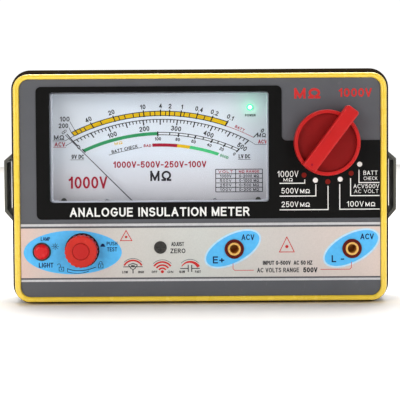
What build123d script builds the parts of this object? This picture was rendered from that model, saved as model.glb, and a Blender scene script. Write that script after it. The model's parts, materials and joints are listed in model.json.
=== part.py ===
"""Analogue insulation resistance tester, standing upright on its bottom edge.

Millimetres. +Z is up and the front face looks towards -Y. The origin of the finished files is the
bottom centre of the tester's box: X = 0 and Y = 0 are the middle of its width and depth, and Z = 0
is what it stands on. Heights in this file are counted from a grid line `stand` above that.
Depths are counted from the front panel's face, and grow towards the back.
"""

import os
from math import cos, radians, sin

from build123d import *

# Case: a black rear shell, a grey front tray inside a yellow bumper rim.
case_width = 171.3
case_height = 106.2
stand = 0.7
case_depth = 46.0
case_corner = 8.8
case_wall = 2.6
back_round = 4.0
shell_centre_z = case_height / 2 - stand
centre_z = 52.0
cavity = (164.4, 99.2, 4.8)
ledge_opening = (160.0, 94.2, 4.0)
rim_outside = (168.4, 102.9, 6.8)
rim_opening = (163.0, 98.4, 4.4)
rim_proud = 1.4
rim_depth = 6.0
front_gap = 0.05
front_wall = 2.4
front_depth = 12.0
plate = 2.6
film = 0.4
foot_radius = 5.0
foot_height = 2.5
foot_places = [(x, z) for x in (-66.0, 66.0) for z in (14.0, 90.2)]
case_screw_places = [(x, z) for x in (-75.5, 75.5) for z in (10.0, 94.2)]

# Meter: window, dial and moving-coil movement.
window_x = (-67.95, 31.05)
window_z = (45.45, 95.25)
window_corner = 1.4
bezel_wall = 0.5
lens_front = 0.4
lens_back = 2.4
dial_front = 11.5
dial_thickness = 1.0
frame_thickness = 1.4
pivot = (-18.25, 33.0)
pointer_length = 61.0
pointer_rest = -45.0
pointer_front = 7.7
balance_radius = 2.1
balance_reach = 5.8
balance_back = 13.0
meter_post_places = [(x, z) for x in (-72.0, 35.2) for z in (50.0, 86.0)]
dial_screw_places = [(-62.5, 45.9), (26.5, 45.9)]
dial_pin_places = [(-42.9, 46.1), (6.7, 46.2)]
lamp_places = [(-45.0, 75.0), (8.0, 75.0)]
led_place = (22.9, 88.15)
led_radius = 1.5
zero_place = (-18.25, 25.0)
zero_radius = 2.8
zero_pin_offset = 1.0
zero_pin_radius = 0.6

# Range knob and the rotary switch behind it.
range_place = (57.0, 72.0)
knob_radius = 14.8
knob_rim = 1.6
knob_height = 13.0
knob_skirt = 8.0
knob_recess = 3.0
knob_gap = 1.0
knob_bar_width = 6.3
knob_tab_reach = 19.0
knob_tip_corner = 1.2
knob_tilt = 37.0
knob_index_reach = 12.1
shaft_radius = 3.0
bushing_radius = 4.5
switch_radius = 15.0
detent_pitch = 18.0
switch_positions = 6

# Push controls and output jacks along the lower strip.
test_place = (-53.7, 23.9)
test_radius = 7.35
test_height = 8.4
test_lobes = 21
test_hole = 7.85
stem_radius = 2.5
light_place = (-71.9, 23.4)
light_radius = 3.5
light_cup = 3.95
jack_e_place = (15.2, 24.1)
jack_l_place = (68.5, 24.0)
jack_bore = 2.0
jack_sleeve = 2.95
jack_collar = 4.4
jack_depth = 16.0
strip_z = (9.7, 35.9)

# Strap loops on both sides.
loop_reach = 89.6
loop_thickness = 1.2
loop_foot_z = (36.6, 67.9)
loop_bar_z = (41.2, 64.5)
loop_depths = (9.0, 28.0)
loop_plate = 1.2

# Batteries: six AA cells side by side in a tray behind a cover.
cell_radius = 7.15
cell_length = 50.5
cell_count = 6
cell_pitch = 14.4
bay_centre = (-13.0, 42.0)
tray_size = (92.0, 60.0)
tray_front = 27.0
tray_wall = 2.0
cover_gap = 0.3
cover_screw_place = (-13.0, 76.0)

# Circuit boards.
board_x = (37.0, 79.0)
board_z = (16.0, 89.0)
board_front = 22.0
board_thickness = 1.6
board_post_places = [(40.5, 20.0), (76.0, 35.0), (40.5, 85.0), (76.0, 85.0)]
small_board_x = (-78.0, -39.0)
small_board_z = (15.0, 36.0)
small_board_front = 20.0
small_post_places = [(-66.5, 33.2), (-42.0, 17.5)]

running_gap = 0.06
total_depth = knob_height + case_depth + foot_height
face_y = knob_height - total_depth / 2


def prism(outline, front, back):
    """Extrude an outline drawn as seen from the front, between two depths behind the panel's face."""
    return extrude(Plane.XZ.offset(-(face_y + back)) * outline, back - front)


def rod(place, radius, front, back):
    """A round bar along the depth."""
    return prism(Pos(*place) * Circle(radius), front, back)


def tube(place, outer, inner, front, back):
    """A round sleeve along the depth."""
    return prism(Pos(*place) * (Circle(outer) - Circle(inner)), front, back)


def slab(xs, zs, front, back, corner=0.0):
    """A plate or block between two X, two Z and two depths, with rounded corners seen from the front."""
    width = xs[1] - xs[0]
    height = zs[1] - zs[0]
    shape = RectangleRounded(width, height, corner) if corner else Rectangle(width, height)
    return prism(Pos((xs[0] + xs[1]) / 2, (zs[0] + zs[1]) / 2) * shape, front, back)


def centred(width, height, corner, front, back):
    """A rounded block about the middle of the front."""
    return prism(Pos(0, centre_z) * RectangleRounded(width, height, corner), front, back)


def grown(span, by):
    """A pair of limits moved outwards by the same amount."""
    return (span[0] - by, span[1] + by)


def offset_place(place, radius, angle):
    """A point at an angle clockwise from straight up, seen from the front."""
    return (place[0] + radius * sin(radians(angle)), place[1] + radius * cos(radians(angle)))


def turned(shape, place, angle):
    """A shape turned clockwise, seen from the front, about a point of the panel."""
    return Pos(place[0], 0, place[1]) * Rot(0, angle, 0) * Pos(-place[0], 0, -place[1]) * shape


def group(shapes):
    """Several separate solids kept as one node."""
    return Compound(children=[solid for shape in shapes for solid in shape.solids()])


def screw(place, head_radius, shank_radius, head_front, head_back, tip):
    """A cross-head screw whose head is at the back and whose tip points to the front."""
    body = rod(place, head_radius, head_front, head_back) + rod(place, shank_radius, tip, head_front)
    arm = head_radius * 1.2
    for size in ((arm, arm / 4), (arm / 4, arm)):
        body -= prism(Pos(*place) * Rectangle(*size), head_back - 0.6, head_back)
    return body


def coil_spring(place, mean_radius, wire, turns, front, back):
    """A round-wire compression spring along the depth."""
    height = back - front - 2 * wire
    path = Helix(pitch=height / turns, height=height, radius=mean_radius)
    section = Plane(origin=path @ 0, z_dir=path % 0) * Circle(wire)
    coil = sweep(section, path=path, is_frenet=True)
    return Pos(place[0], face_y + front + wire, place[1]) * Rot(-90, 0, 0) * coil


# ---------------------------------------------------------------- case


def front_case():
    """Grey front tray: panel plate, side walls, screw bosses and posts for what it carries."""
    width = rim_opening[0] - 2 * front_gap
    height = rim_opening[1] - 2 * front_gap
    corner = rim_opening[2]
    tray = centred(width, height, corner, 0, front_depth)
    inside = centred(width - 2 * front_wall, height - 2 * front_wall, corner - 2, plate, front_depth)
    body = tray - inside
    for place in case_screw_places:
        body += rod(place, 3.2, plate, front_depth + 0.9)
    for place in meter_post_places:
        body += rod(place, 2.4, plate, dial_front + dial_thickness)
    for place in board_post_places:
        body += rod(place, 2.2, plate, board_front)
    for place in small_post_places:
        body += rod(place, 2.0, plate, small_board_front)
    for place in case_screw_places:
        body -= rod(place, 1.55, 5.5, front_depth + 0.9)
    for place in meter_post_places:
        body -= rod(place, 1.05, 5.5, dial_front + dial_thickness)
    for place in board_post_places:
        body -= rod(place, 1.05, board_front - 8, board_front)
    for place in small_post_places:
        body -= rod(place, 1.05, small_board_front - 8, small_board_front)
    body -= slab(window_x, window_z, 0, plate, window_corner)
    body -= rod(range_place, bushing_radius + 0.2, 0, plate)
    body -= rod(test_place, test_hole, 0, plate)
    body -= rod(light_place, light_cup + 0.03, 0, plate)
    body -= rod(zero_place, zero_radius + 0.07, 0, plate)
    for place in (jack_e_place, jack_l_place):
        body -= rod(place, 3.9, 0, plate)
    return body


def yellow_bumper():
    """Soft yellow rim round the front, rounded towards the user."""
    ring = centred(*rim_outside, -rim_proud, rim_depth)
    ring -= centred(*rim_opening, -rim_proud, rim_depth)
    return fillet(ring.edges().group_by(Axis.Y)[0], 1.05)


def cover_outline(gap):
    """Outline of the battery opening with its screw tab, shrunk by a gap on every side."""
    width = tray_size[0] - 2 - 2 * gap
    height = tray_size[1] - 2 - 2 * gap
    plate_face = Pos(*bay_centre) * RectangleRounded(width, height, 3.0)
    tab_bottom = bay_centre[1]
    tab_top = cover_screw_place[1] + 4.3 - gap
    tab_centre = (cover_screw_place[0], (tab_bottom + tab_top) / 2)
    tab = Pos(*tab_centre) * RectangleRounded(14 - 2 * gap, tab_top - tab_bottom, 3.0)
    return plate_face + tab


def rear_case():
    """Black rear shell with a seal ledge, screw posts, battery opening and strap loop pockets."""
    outline = Pos(0, shell_centre_z) * RectangleRounded(case_width, case_height, case_corner)
    shell = prism(outline, rim_depth, case_depth)
    shell = fillet(shell.edges().group_by(Axis.Y)[-1], back_round)
    ledge_front = front_depth + 1.2
    ledge_back = ledge_front + 2
    shell -= centred(*cavity, rim_depth, ledge_front)
    shell -= centred(*ledge_opening, ledge_front, ledge_back)
    shell -= centred(*cavity, ledge_back, case_depth - case_wall)
    for place in case_screw_places:
        shell += rod(place, 4.2, front_depth + 1, case_depth - case_wall)
    tab_x = grown((cover_screw_place[0] - 7, cover_screw_place[0] + 7), 2)
    shell += slab(tab_x, (72.1, 83.0), 36.0, case_depth - case_wall)
    for place in case_screw_places:
        shell -= rod(place, 1.7, front_depth + 1, 30)
        shell -= rod(place, 3.0, 30, case_depth)
    shell -= prism(cover_outline(0), case_depth - case_wall, case_depth)
    shell -= rod(cover_screw_place, 1.55, 36.8, case_depth - case_wall)
    for place in foot_places:
        shell -= rod(place, foot_radius + 0.1, case_depth - 0.5, case_depth)
    for side in (-1, 1):
        outer = side * case_width / 2
        inner = outer - side * loop_plate
        xs = (min(outer, inner), max(outer, inner))
        shell -= slab(xs, grown(loop_foot_z, 2.2), *grown(loop_depths, 0.1))
    return shell


def case_gasket():
    """Rubber seal between the front tray's edge and the ledge in the rear shell."""
    gasket = centred(162.8, 98.2, 4.3, front_depth, front_depth + 1.2)
    return gasket - centred(*ledge_opening, front_depth, front_depth + 1.2)


def case_screws():
    """Four long screws that pull the two halves together from the back."""
    return group([screw(place, 2.8, 1.5, 30, 32.2, 6.5) for place in case_screw_places])


def rubber_feet():
    """Four round feet that the tester lies on when it is on its back."""
    feet = []
    for place in foot_places:
        foot = rod(place, foot_radius, case_depth - 0.5, case_depth + foot_height)
        feet.append(chamfer(foot.edges().group_by(Axis.Y)[-1], 0.7))
    return group(feet)


def strap_loop(side):
    """A flat bar bent outwards into a belt loop, on a plate let into the shell's side."""
    wall = case_width / 2
    arch = Polygon(
        (wall - loop_plate, loop_foot_z[0] - 2),
        (wall, loop_foot_z[0] - 2),
        (wall, loop_foot_z[0]),
        (loop_reach, loop_bar_z[0]),
        (loop_reach, loop_bar_z[1]),
        (wall, loop_foot_z[1]),
        (wall, loop_foot_z[1] + 2),
        (wall - loop_plate, loop_foot_z[1] + 2),
        align=None,
    )
    gap = Polygon(
        (wall, loop_foot_z[0] + 1.9),
        (loop_reach - loop_thickness, loop_bar_z[0] + 0.9),
        (loop_reach - loop_thickness, loop_bar_z[1] - 0.9),
        (wall, loop_foot_z[1] - 1.9),
        align=None,
    )
    loop = prism(arch - gap, *loop_depths)
    outer_edges = loop.edges().filter_by(Axis.Y).group_by(Axis.X)[-1]
    loop = fillet(outer_edges, 0.6)
    return loop if side > 0 else mirror(loop, about=Plane.YZ)


# ---------------------------------------------------------------- panel


def panel_label():
    """Black film on the panel: an L that frames the window and runs on under the range knob."""
    left = -74.0
    right = rim_opening[0] / 2 - 0.2
    bottom = 37.9
    notch = 73.0
    top = 97.8
    step = 36.9
    film_face = Pos((left + right) / 2, (bottom + notch) / 2) * Rectangle(right - left, notch - bottom)
    film_face += Pos((left + step) / 2, (bottom + top) / 2) * Rectangle(step - left, top - bottom)
    inner = [v for v in film_face.vertices() if abs(v.X - right) > 1]
    film_face = fillet(inner, 2.3)
    label = prism(film_face, -film, 0)
    label -= slab(window_x, window_z, -film, 0, window_corner)
    return label - rod(range_place, 6.9, -film, 0)


def control_strip():
    """Light film along the lower edge, with holes for every control."""
    right = rim_opening[0] / 2 - 0.2
    strip = slab((-right, right), strip_z, -film, 0)
    strip -= rod(test_place, test_hole, -film, 0)
    strip -= rod(light_place, light_cup + 0.03, -film, 0)
    strip -= rod(zero_place, zero_radius + 0.07, -film, 0)
    for place in (jack_e_place, jack_l_place):
        strip -= rod(place, 3.9, -film, 0)
    return strip


# ---------------------------------------------------------------- meter


def window_lens():
    """Clear plate that closes the window."""
    return slab(grown(window_x, -0.15), grown(window_z, -0.15), lens_front, lens_back, window_corner)


def meter_bezel():
    """Light grey frame that holds the lens and hides the edge of the dial."""
    outer_x = grown(window_x, -0.1)
    outer_z = grown(window_z, -0.1)
    inner_x = grown(window_x, -0.1 - bezel_wall)
    inner_z = grown(window_z, -0.1 - bezel_wall)
    bezel = slab(outer_x, outer_z, lens_back, dial_front, window_corner)
    bezel += slab(grown(window_x, 1.0), grown(window_z, 1.0), plate, plate + 1.2, 2.0)
    bezel -= slab(inner_x, inner_z, lens_back, dial_front, 0.6)
    slot = (window_z[0], window_z[0] + bezel_wall + 0.5)
    return bezel - slab(grown(window_x, -3.0), slot, 6.4, dial_front)


def dial_plate():
    """Printed dial behind the pointer, with holes for its screws, pins and the power lamp."""
    dial_z = (37.0, window_z[1] + 0.6)
    dial = slab(grown(window_x, 0.6), dial_z, dial_front, dial_front + dial_thickness, 1.0)
    for place in dial_screw_places:
        dial -= rod(place, 0.85, dial_front, dial_front + dial_thickness)
    for place in dial_pin_places:
        dial -= rod(place, 0.72, dial_front, dial_front + dial_thickness)
    return dial - rod(led_place, led_radius + 0.05, dial_front, dial_front + dial_thickness)


def meter_frame():
    """Carrier behind the dial: a wide plate with a tongue for the movement."""
    front = dial_front + dial_thickness
    back = front + frame_thickness
    frame = slab((-75.0, 38.2), (46.5, 89.5), front, back, 2.0)
    frame += slab(grown(window_x, 1.5), (44.0, window_z[1] + 0.6), front, back, 2.0)
    frame += slab((pivot[0] - 15.5, pivot[0] + 15.5), (18.0, 60.0), front, back, 2.0)
    frame -= rod(pivot, 9.2, front, back)
    for place in meter_post_places:
        frame -= rod(place, 1.1, front, back)
    for place in dial_screw_places:
        frame -= rod(place, 0.85, front, back)
    for place in dial_pin_places:
        frame -= rod(place, 0.72, front, back)
    for place in lamp_places:
        frame -= rod(place, 2.45, front, back)
    return frame - rod(led_place, led_radius + 0.05, front, back)


def dial_screws():
    """Two small slotted screws on the face of the dial."""
    back = dial_front + dial_thickness + frame_thickness
    made = []
    for place in dial_screw_places:
        body = rod(place, 1.25, dial_front - 0.6, dial_front) + rod(place, 0.8, dial_front, back)
        body -= prism(Pos(*place) * Rectangle(2.6, 0.3), dial_front - 0.6, dial_front - 0.3)
        made.append(body)
    return group(made)


def dial_pins():
    """Two bright locating pins through the dial."""
    back = dial_front + dial_thickness + frame_thickness
    pins = [rod(place, 0.7, dial_front - 1.0, back) for place in dial_pin_places]
    return group([chamfer(pin.edges().group_by(Axis.Y)[0], 0.2) for pin in pins])


def pointer():
    """Tapered needle with a hub and a tail whose weight balances the needle."""
    needle = Polygon(
        (-0.3, 0), (0.3, 0), (0.14, pointer_length), (-0.14, pointer_length), align=None
    )
    tail = Pos(0, -balance_reach / 2) * Rectangle(0.9, balance_reach)
    arms = Rectangle(9.0, 0.7) + Pos(-4.5, 0) * Circle(0.9) + Pos(4.5, 0) * Circle(0.9)
    outline = Pos(*pivot) * (needle + tail + arms + Circle(1.7) - Circle(0.5))
    weight = rod((pivot[0], pivot[1] - balance_reach), balance_radius, pointer_front, balance_back)
    return turned(prism(outline, pointer_front, pointer_front + 0.6) + weight, pivot, pointer_rest)


def moving_coil():
    """Rectangular copper coil that turns round the core."""
    coil = slab((pivot[0] - 1.5, pivot[0] + 1.5), grown((pivot[1], pivot[1]), 7.4), 13.4, 23.0)
    coil -= slab((pivot[0] - 1.5, pivot[0] + 1.5), grown((pivot[1], pivot[1]), 6.2), 14.0, 22.4)
    return turned(coil, pivot, pointer_rest)


def coil_staffs():
    """Two steel pivots, one on each end of the coil."""
    front = rod(pivot, 0.5, 6.3, 13.4)
    back = rod(pivot, 0.5, 23.0, 24.2)
    return group([front, back])


def hairspring():
    """Flat spiral spring made of half turns that grow outwards."""
    strip = 0.22
    step = 0.42
    radius = 1.15
    spiral = Sketch()
    for half in range(9):
        side = 1 if half % 2 == 0 else -1
        ring = Circle(radius + strip) - Circle(radius)
        keep = Pos(0, side * 6) * Rectangle(12, 12)
        centre = Pos(step / 2 if half % 2 else 0.0, 0)
        spiral += centre * (ring & keep)
        radius += step / 2
    spiral += Pos(0.87, 0) * Rectangle(0.74, 0.22)
    return prism(Pos(*pivot) * spiral, 6.75, 7.25)


def movement_yoke():
    """Soft iron ring that closes the magnet's field round the coil."""
    front = dial_front + dial_thickness + frame_thickness
    return tube(pivot, 13.0, 9.2, front, 22.6)


def movement_core():
    """Magnet core inside the coil, held from both sides."""
    core = rod(pivot, 5.5, 14.2, 22.2)
    bar = slab((pivot[0] - 9.0, pivot[0] + 9.0), (pivot[1] - 1.5, pivot[1] + 1.5), 16.0, 20.0)
    return core + bar


def movement_bridges():
    """Front and back straps that carry the jewel screws."""
    frame_front = dial_front + dial_thickness
    strap_x = (pivot[0] - 12.5, pivot[0] + 12.5)
    strap_z = (pivot[1] - 1.6, pivot[1] + 1.6)
    feet = [(pivot[0] + side * 11.0, pivot[1]) for side in (-1, 1)]
    front = slab(strap_x, strap_z, 3.4, 4.8, 1.5)
    back = slab(strap_x, strap_z, 24.8, 26.0, 1.5)
    for place in feet:
        front += rod(place, 1.5, 4.8, frame_front)
        back += rod(place, 1.5, 22.6, 24.8)
    front -= rod(pivot, 1.22, 3.4, 4.8)
    back -= rod(pivot, 1.22, 24.8, 26.0)
    return group([front, back])


def jewel_screws():
    """Two small screws whose jewels carry the staffs."""
    front = rod(pivot, 1.2, 3.0, 6.2)
    back = rod(pivot, 1.2, 24.3, 26.5)
    return group([front, back])


def zero_arm():
    """Fork that the zero screw's pin turns to shift the hairspring's fixed end."""
    reach = pivot[1] - zero_place[1] + zero_pin_offset
    arm = Pos(0, -reach / 2 - 0.9) * Rectangle(3.6, reach + 1.8)
    outline = arm + Circle(2.4) - Circle(1.2 + running_gap)
    slot_width = 2 * (zero_pin_radius + 0.15)
    outline -= Pos(0, -reach + 0.3) * SlotOverall(3.2, slot_width, rotation=90)
    return prism(Pos(*pivot) * outline, 5.2, 5.8)


def zero_screw():
    """Slotted adjuster in the panel with an eccentric pin behind."""
    body = rod(zero_place, zero_radius, -1.1, 4.2) + rod(zero_place, 3.7, 2.8, 4.2)
    body = chamfer(body.edges().group_by(Axis.Y)[0], 0.35)
    body -= prism(Pos(*zero_place) * Rectangle(4.2, 0.9), -1.1, -0.2)
    body -= prism(Pos(*zero_place) * Rectangle(0.9, 4.2), -1.1, -0.2)
    pin_place = (zero_place[0], zero_place[1] - zero_pin_offset)
    return body + rod(pin_place, zero_pin_radius, 4.2, 6.1)


def power_led():
    """Small domed lamp that shows through the dial."""
    frame_back = dial_front + dial_thickness + frame_thickness
    lamp = rod(led_place, led_radius, dial_front - 1.6, frame_back)
    lamp = fillet(lamp.edges().group_by(Axis.Y)[0], led_radius - 0.2)
    return lamp + rod(led_place, 1.9, frame_back, frame_back + 0.9)


def dial_lamps():
    """Two lamps that light the dial from behind."""
    front = dial_front + dial_thickness + 0.1
    made = []
    for place in lamp_places:
        lamp = rod(place, 2.4, front, front + 3.0)
        lamp = fillet(lamp.edges().group_by(Axis.Y)[0], 0.8)
        made.append(lamp + rod(place, 2.9, front + 3.0, front + 4.0))
    return group(made)


# ---------------------------------------------------------------- range switch


def knob_bar_outline(start):
    """Grip bar of the range knob before it is tilted, from a height off the middle up to its tip."""
    length = knob_tab_reach - start
    middle = (knob_tab_reach + start) / 2
    bar = Pos(range_place[0], range_place[1] + middle) * Rectangle(knob_bar_width, length)
    return fillet(bar.vertices().group_by(Axis.Y)[-1], knob_tip_corner)


def range_knob():
    """Round skirt with a recessed face and a tall grip bar that overhangs one side.

    The bar has a small round index dimple near its other end.
    """
    skirt_front = -knob_skirt
    floor = skirt_front + knob_recess
    knob = rod(range_place, knob_radius, skirt_front, -knob_gap)
    knob = fillet(knob.edges().group_by(Axis.Y)[0], 0.6)
    knob -= rod(range_place, knob_radius - knob_rim, skirt_front, floor)
    inside = Pos(*range_place) * Circle(knob_radius - 0.4)
    whole_bar = knob_bar_outline(0.4 - knob_radius)
    low_bar = prism(whole_bar & inside, skirt_front, floor)
    tall_bar = prism(whole_bar, -knob_height, skirt_front + 0.6)
    tall_bar = fillet(tall_bar.edges().group_by(Axis.Y)[0], 0.8)
    tab = prism(knob_bar_outline(knob_radius - 2), -knob_height + 2, -3.0)
    index_place = (range_place[0], range_place[1] - knob_index_reach)
    index = rod(index_place, 0.55, -knob_height, -knob_height + 0.3)
    knob += turned(low_bar + tall_bar + tab - index, range_place, knob_tilt)
    knob -= rod(range_place, 7.2, -3.0, -knob_gap)
    return knob - rod(range_place, shaft_radius, -11.0, -3.0)


def knob_insert():
    """Dark red plates that fill the recess on both sides of the bar."""
    floor = -knob_skirt + knob_recess
    disc = rod(range_place, knob_radius - knob_rim - 0.1, floor - 0.7, floor)
    bar_x = grown((range_place[0], range_place[0]), knob_bar_width / 2 + 0.05)
    bar = slab(bar_x, grown((range_place[1], range_place[1]), 20), floor - 0.7, floor)
    return group([turned(disc - bar, range_place, knob_tilt)])


def switch_shaft():
    """Steel shaft from the knob to the rotor."""
    return rod(range_place, shaft_radius, -11.0, 12.0)


def switch_rotor():
    """Notched wheel on the shaft with a wiper bump for the contacts."""
    rotor = tube(range_place, 10.5, shaft_radius, 6.0, 10.0)
    for notch in range(round(360 / detent_pitch)):
        rotor -= rod(offset_place(range_place, 11.4, notch * detent_pitch), 1.4, 6.0, 10.0)
    return rotor + rod(offset_place(range_place, 8.0, 0), 1.0, 10.0, 10.8)


def switch_housing():
    """Closed can with a threaded bushing that goes through the panel."""
    can = rod(range_place, switch_radius, 3.0, 14.5) - rod(range_place, 13.6, 4.5, 13.0)
    can += rod(range_place, bushing_radius, -2.4, 3.0)
    return can - rod(range_place, shaft_radius + running_gap, -2.4, 4.5)


def switch_contacts():
    """Brass studs that the wiper reaches in turn."""
    studs = []
    for position in range(switch_positions):
        place = offset_place(range_place, 8.0, -position * detent_pitch)
        studs.append(rod(place, 0.9, 11.1, 13.0) + rod(place, 0.5, 14.5, 16.0))
    return group(studs)


def detent_ball():
    """Steel ball beside the rotor's notches that gives each position its click."""
    place = offset_place(range_place, 12.0, 90)
    return Pos(place[0], face_y + 8.0, place[1]) * Sphere(1.4)


# ---------------------------------------------------------------- push controls


def test_knob():
    """Lobed knob, pressed to test and turned to lock."""
    knob = rod(test_place, test_radius, -test_height, -0.8)
    knob = fillet(knob.edges().group_by(Axis.Y)[0], 0.9)
    for lobe in range(test_lobes):
        groove = offset_place(test_place, test_radius + 0.35, lobe * 360 / test_lobes)
        knob -= rod(groove, 0.72, -test_height, -0.8)
    knob -= rod(test_place, 3.9, -test_height, -test_height + 1.0)
    knob -= rod(test_place, 5.2, -4.0, -0.8)
    return knob - rod(test_place, stem_radius + running_gap, -5.9, -4.0)


def test_knob_cap():
    """Round inlay in the middle of the TEST knob."""
    cap = rod(test_place, 3.75, -test_height - 0.1, -test_height + 1.0)
    return fillet(cap.edges().group_by(Axis.Y)[0], 0.4)


def test_plunger():
    """Stem that the knob turns on, with a retaining collar behind the guide."""
    stem = rod(test_place, stem_radius, -5.7, 12.0)
    return stem + rod(test_place, 4.0, 10.1, 11.1)


def test_guide():
    """Flanged bush behind the panel that guides the stem."""
    guide = rod(test_place, 10.0, 2.7, 4.2) + rod(test_place, 4.6, 4.2, 10.0)
    return guide - rod(test_place, stem_radius + running_gap, 2.7, 10.0)


def test_spring():
    """Return spring of the TEST stem, drawn at its pressed length."""
    return coil_spring(test_place, 3.6, 0.32, 3, -3.9, -0.45)


def light_ring():
    """Dark cup in the panel that guides the LIGHT button."""
    cup = rod(light_place, light_cup, -film, 7.0)
    cup += rod(light_place, light_cup + 0.2, -film - 0.5, -film)
    cup -= rod(light_place, light_radius + 0.08, -film - 0.5, 6.0)
    return cup - rod(light_place, 1.5, 6.0, 7.0)


def light_button():
    """Domed red button on a thin stem."""
    cap = rod(light_place, light_radius, -2.6, 2.0)
    cap = fillet(cap.edges().group_by(Axis.Y)[0], 1.6)
    return cap + rod(light_place, 1.43, 2.0, 9.0)


def light_spring():
    """Return spring of the LIGHT button, drawn at its pressed length."""
    return coil_spring(light_place, 2.4, 0.25, 3, 2.05, 4.3)


def push_switches():
    """Switches that the TEST stem and the LIGHT button's stem close."""
    x, z = test_place
    test = slab((x - 6.4, x + 6.4), (z - 5.0, z + 5.0), 17.0, small_board_front, 0.6)
    test += rod(test_place, 1.4, 15.3, 17.0)
    x, z = light_place
    light = slab((x - 3.0, x + 3.0), (z - 3.0, z + 3.0), 12.2, small_board_front, 0.4)
    light += rod(light_place, 1.5, 10.7, 12.2)
    return group([test, light])


def control_board():
    """Small board that carries the two push switches."""
    back = small_board_front + board_thickness
    board = slab(small_board_x, small_board_z, small_board_front, back, 1.5)
    for place in small_post_places:
        board -= rod(place, 1.1, small_board_front, back)
    return board


# ---------------------------------------------------------------- jacks


def jack_collars():
    """Red insulating collars round both jacks, with necks through the panel."""
    made = []
    for place in (jack_e_place, jack_l_place):
        flange = rod(place, jack_collar, -film - 0.8, -film)
        flange = fillet(flange.edges().group_by(Axis.Y)[0], 0.4)
        neck = rod(place, 3.8, -film, plate)
        made.append(flange + neck - rod(place, jack_sleeve + 0.02, -film - 0.8, plate))
    return group(made)


def jack_sockets():
    """Brass 4 mm sockets, closed at the back, with solder tails."""
    front = -film - 1.1
    made = []
    for place in (jack_e_place, jack_l_place):
        socket = rod(place, jack_sleeve, front, jack_depth)
        socket -= rod(place, jack_bore, front, jack_depth - 2.5)
        socket = chamfer(socket.edges().group_by(Axis.Y)[0], 0.25)
        made.append(socket + rod(place, 0.9, jack_depth, jack_depth + 3.0))
    return group(made)


def panel_nuts():
    """Hex nuts of the range switch, under its knob, and of both jacks, behind the panel."""
    bushing_nut = RegularPolygon(6.4, 6) - Circle(bushing_radius + 0.02)
    made = [prism(Pos(*range_place) * bushing_nut, -film - 1.9, -film)]
    jack_nut = RegularPolygon(5.8, 6) - Circle(jack_sleeve + 0.02)
    for place in (jack_e_place, jack_l_place):
        made.append(prism(Pos(*place) * jack_nut, plate + 0.1, plate + 2.6))
    return group(made)


# ---------------------------------------------------------------- electronics


def main_board():
    """Circuit board behind the range switch and the L jack."""
    back = board_front + board_thickness
    board = slab(board_x, board_z, board_front, back, 1.5)
    for place in board_post_places:
        board -= rod(place, 1.1, board_front, back)
    return board


def inner_screws():
    """Short screws of the meter's carrier and of both boards, all driven from the back."""
    meter_seat = dial_front + dial_thickness + frame_thickness
    board_seat = board_front + board_thickness
    small_seat = small_board_front + board_thickness
    sets = (
        (meter_post_places, meter_seat),
        (board_post_places, board_seat),
        (small_post_places, small_seat),
    )
    made = []
    for places, seat in sets:
        made += [screw(place, 1.9, 1.0, seat, seat + 1.3, seat - 8) for place in places]
    return group(made)


def transformer_core():
    """Ferrite core of the step-up transformer: a closed frame."""
    core = slab((46.0, 70.0), (58.0, 82.0), 28.0, 36.0)
    return core - slab((51.0, 65.0), (63.0, 77.0), 28.0, 36.0)


def transformer_winding():
    """Winding and bobbin through the core's window, standing on the board."""
    seat = board_front + board_thickness
    winding = slab((51.2, 64.8), (63.2, 76.8), seat, 39.5, 1.5)
    return winding


def capacitor():
    """Smoothing capacitor standing on the board."""
    seat = board_front + board_thickness
    body = rod((58.0, 42.0), 6.2, seat + 0.4, 40.0)
    return fillet(body.edges().group_by(Axis.Y)[-1], 0.8)


def fuse():
    """Glass fuse lying along Z."""
    bar = Cylinder(2.6, 20.0)
    return Pos(43.5, face_y + 29.0, 36.0) * bar


def fuse_clips():
    """Two spring clips that hold the fuse on the board."""
    seat = board_front + board_thickness
    clips = []
    for z in (29.0, 43.0):
        clip = slab((39.9, 47.1), (z - 1.6, z + 1.6), seat, 31.0)
        clip -= slab((40.5, 46.5), (z - 1.6, z + 1.6), seat + 2.2, 31.0)
        clips.append(clip)
    return group(clips)


# ---------------------------------------------------------------- batteries


def battery_tray():
    """Open box that holds the cells against the battery cover."""
    back = case_depth - case_wall
    half_x = tray_size[0] / 2
    half_z = tray_size[1] / 2
    xs = (bay_centre[0] - half_x, bay_centre[0] + half_x)
    zs = (bay_centre[1] - half_z, bay_centre[1] + half_z)
    tray = slab(xs, zs, tray_front, back, 3.0)
    return tray - slab(grown(xs, -tray_wall), grown(zs, -tray_wall), tray_front + 1.6, back, 1.5)


def cell_centres():
    """X of each cell."""
    first = bay_centre[0] - cell_pitch * (cell_count - 1) / 2
    return [first + index * cell_pitch for index in range(cell_count)]


def aa_cells():
    """Six AA cells, turned end for end in turn."""
    depth = face_y + tray_front + 1.6 + 0.1 + cell_radius
    nub = 1.3
    barrel = Cylinder(cell_radius, cell_length - nub)
    barrel = fillet(barrel.edges(), 0.5)
    cell = Pos(0, 0, -nub / 2) * barrel + Pos(0, 0, (cell_length - nub) / 2) * Cylinder(2.7, nub)
    cells = []
    for index, x in enumerate(cell_centres()):
        flip = Rot(180, 0, 0) if index % 2 else Rot(0, 0, 0)
        cells.append(Pos(x, depth, bay_centre[1]) * flip * cell)
    return group(cells)


def battery_contacts():
    """Sprung contact plates at both ends of every cell."""
    depth = tray_front + 1.6 + 0.1 + cell_radius
    inner_half = tray_size[1] / 2 - tray_wall
    plates = []
    for x in cell_centres():
        for side in (-1, 1):
            wall = bay_centre[1] + side * inner_half
            foot = wall - side * 0.45
            tip = bay_centre[1] + side * (cell_length / 2 + 0.05)
            leaf = slab((x - 4.5, x + 4.5), (min(wall, foot), max(wall, foot)), depth - 5, depth + 5)
            bump = slab((x - 2.0, x + 2.0), (min(foot, tip), max(foot, tip)), depth - 2, depth + 2)
            plates.append(leaf + bump)
    return group(plates)


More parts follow.
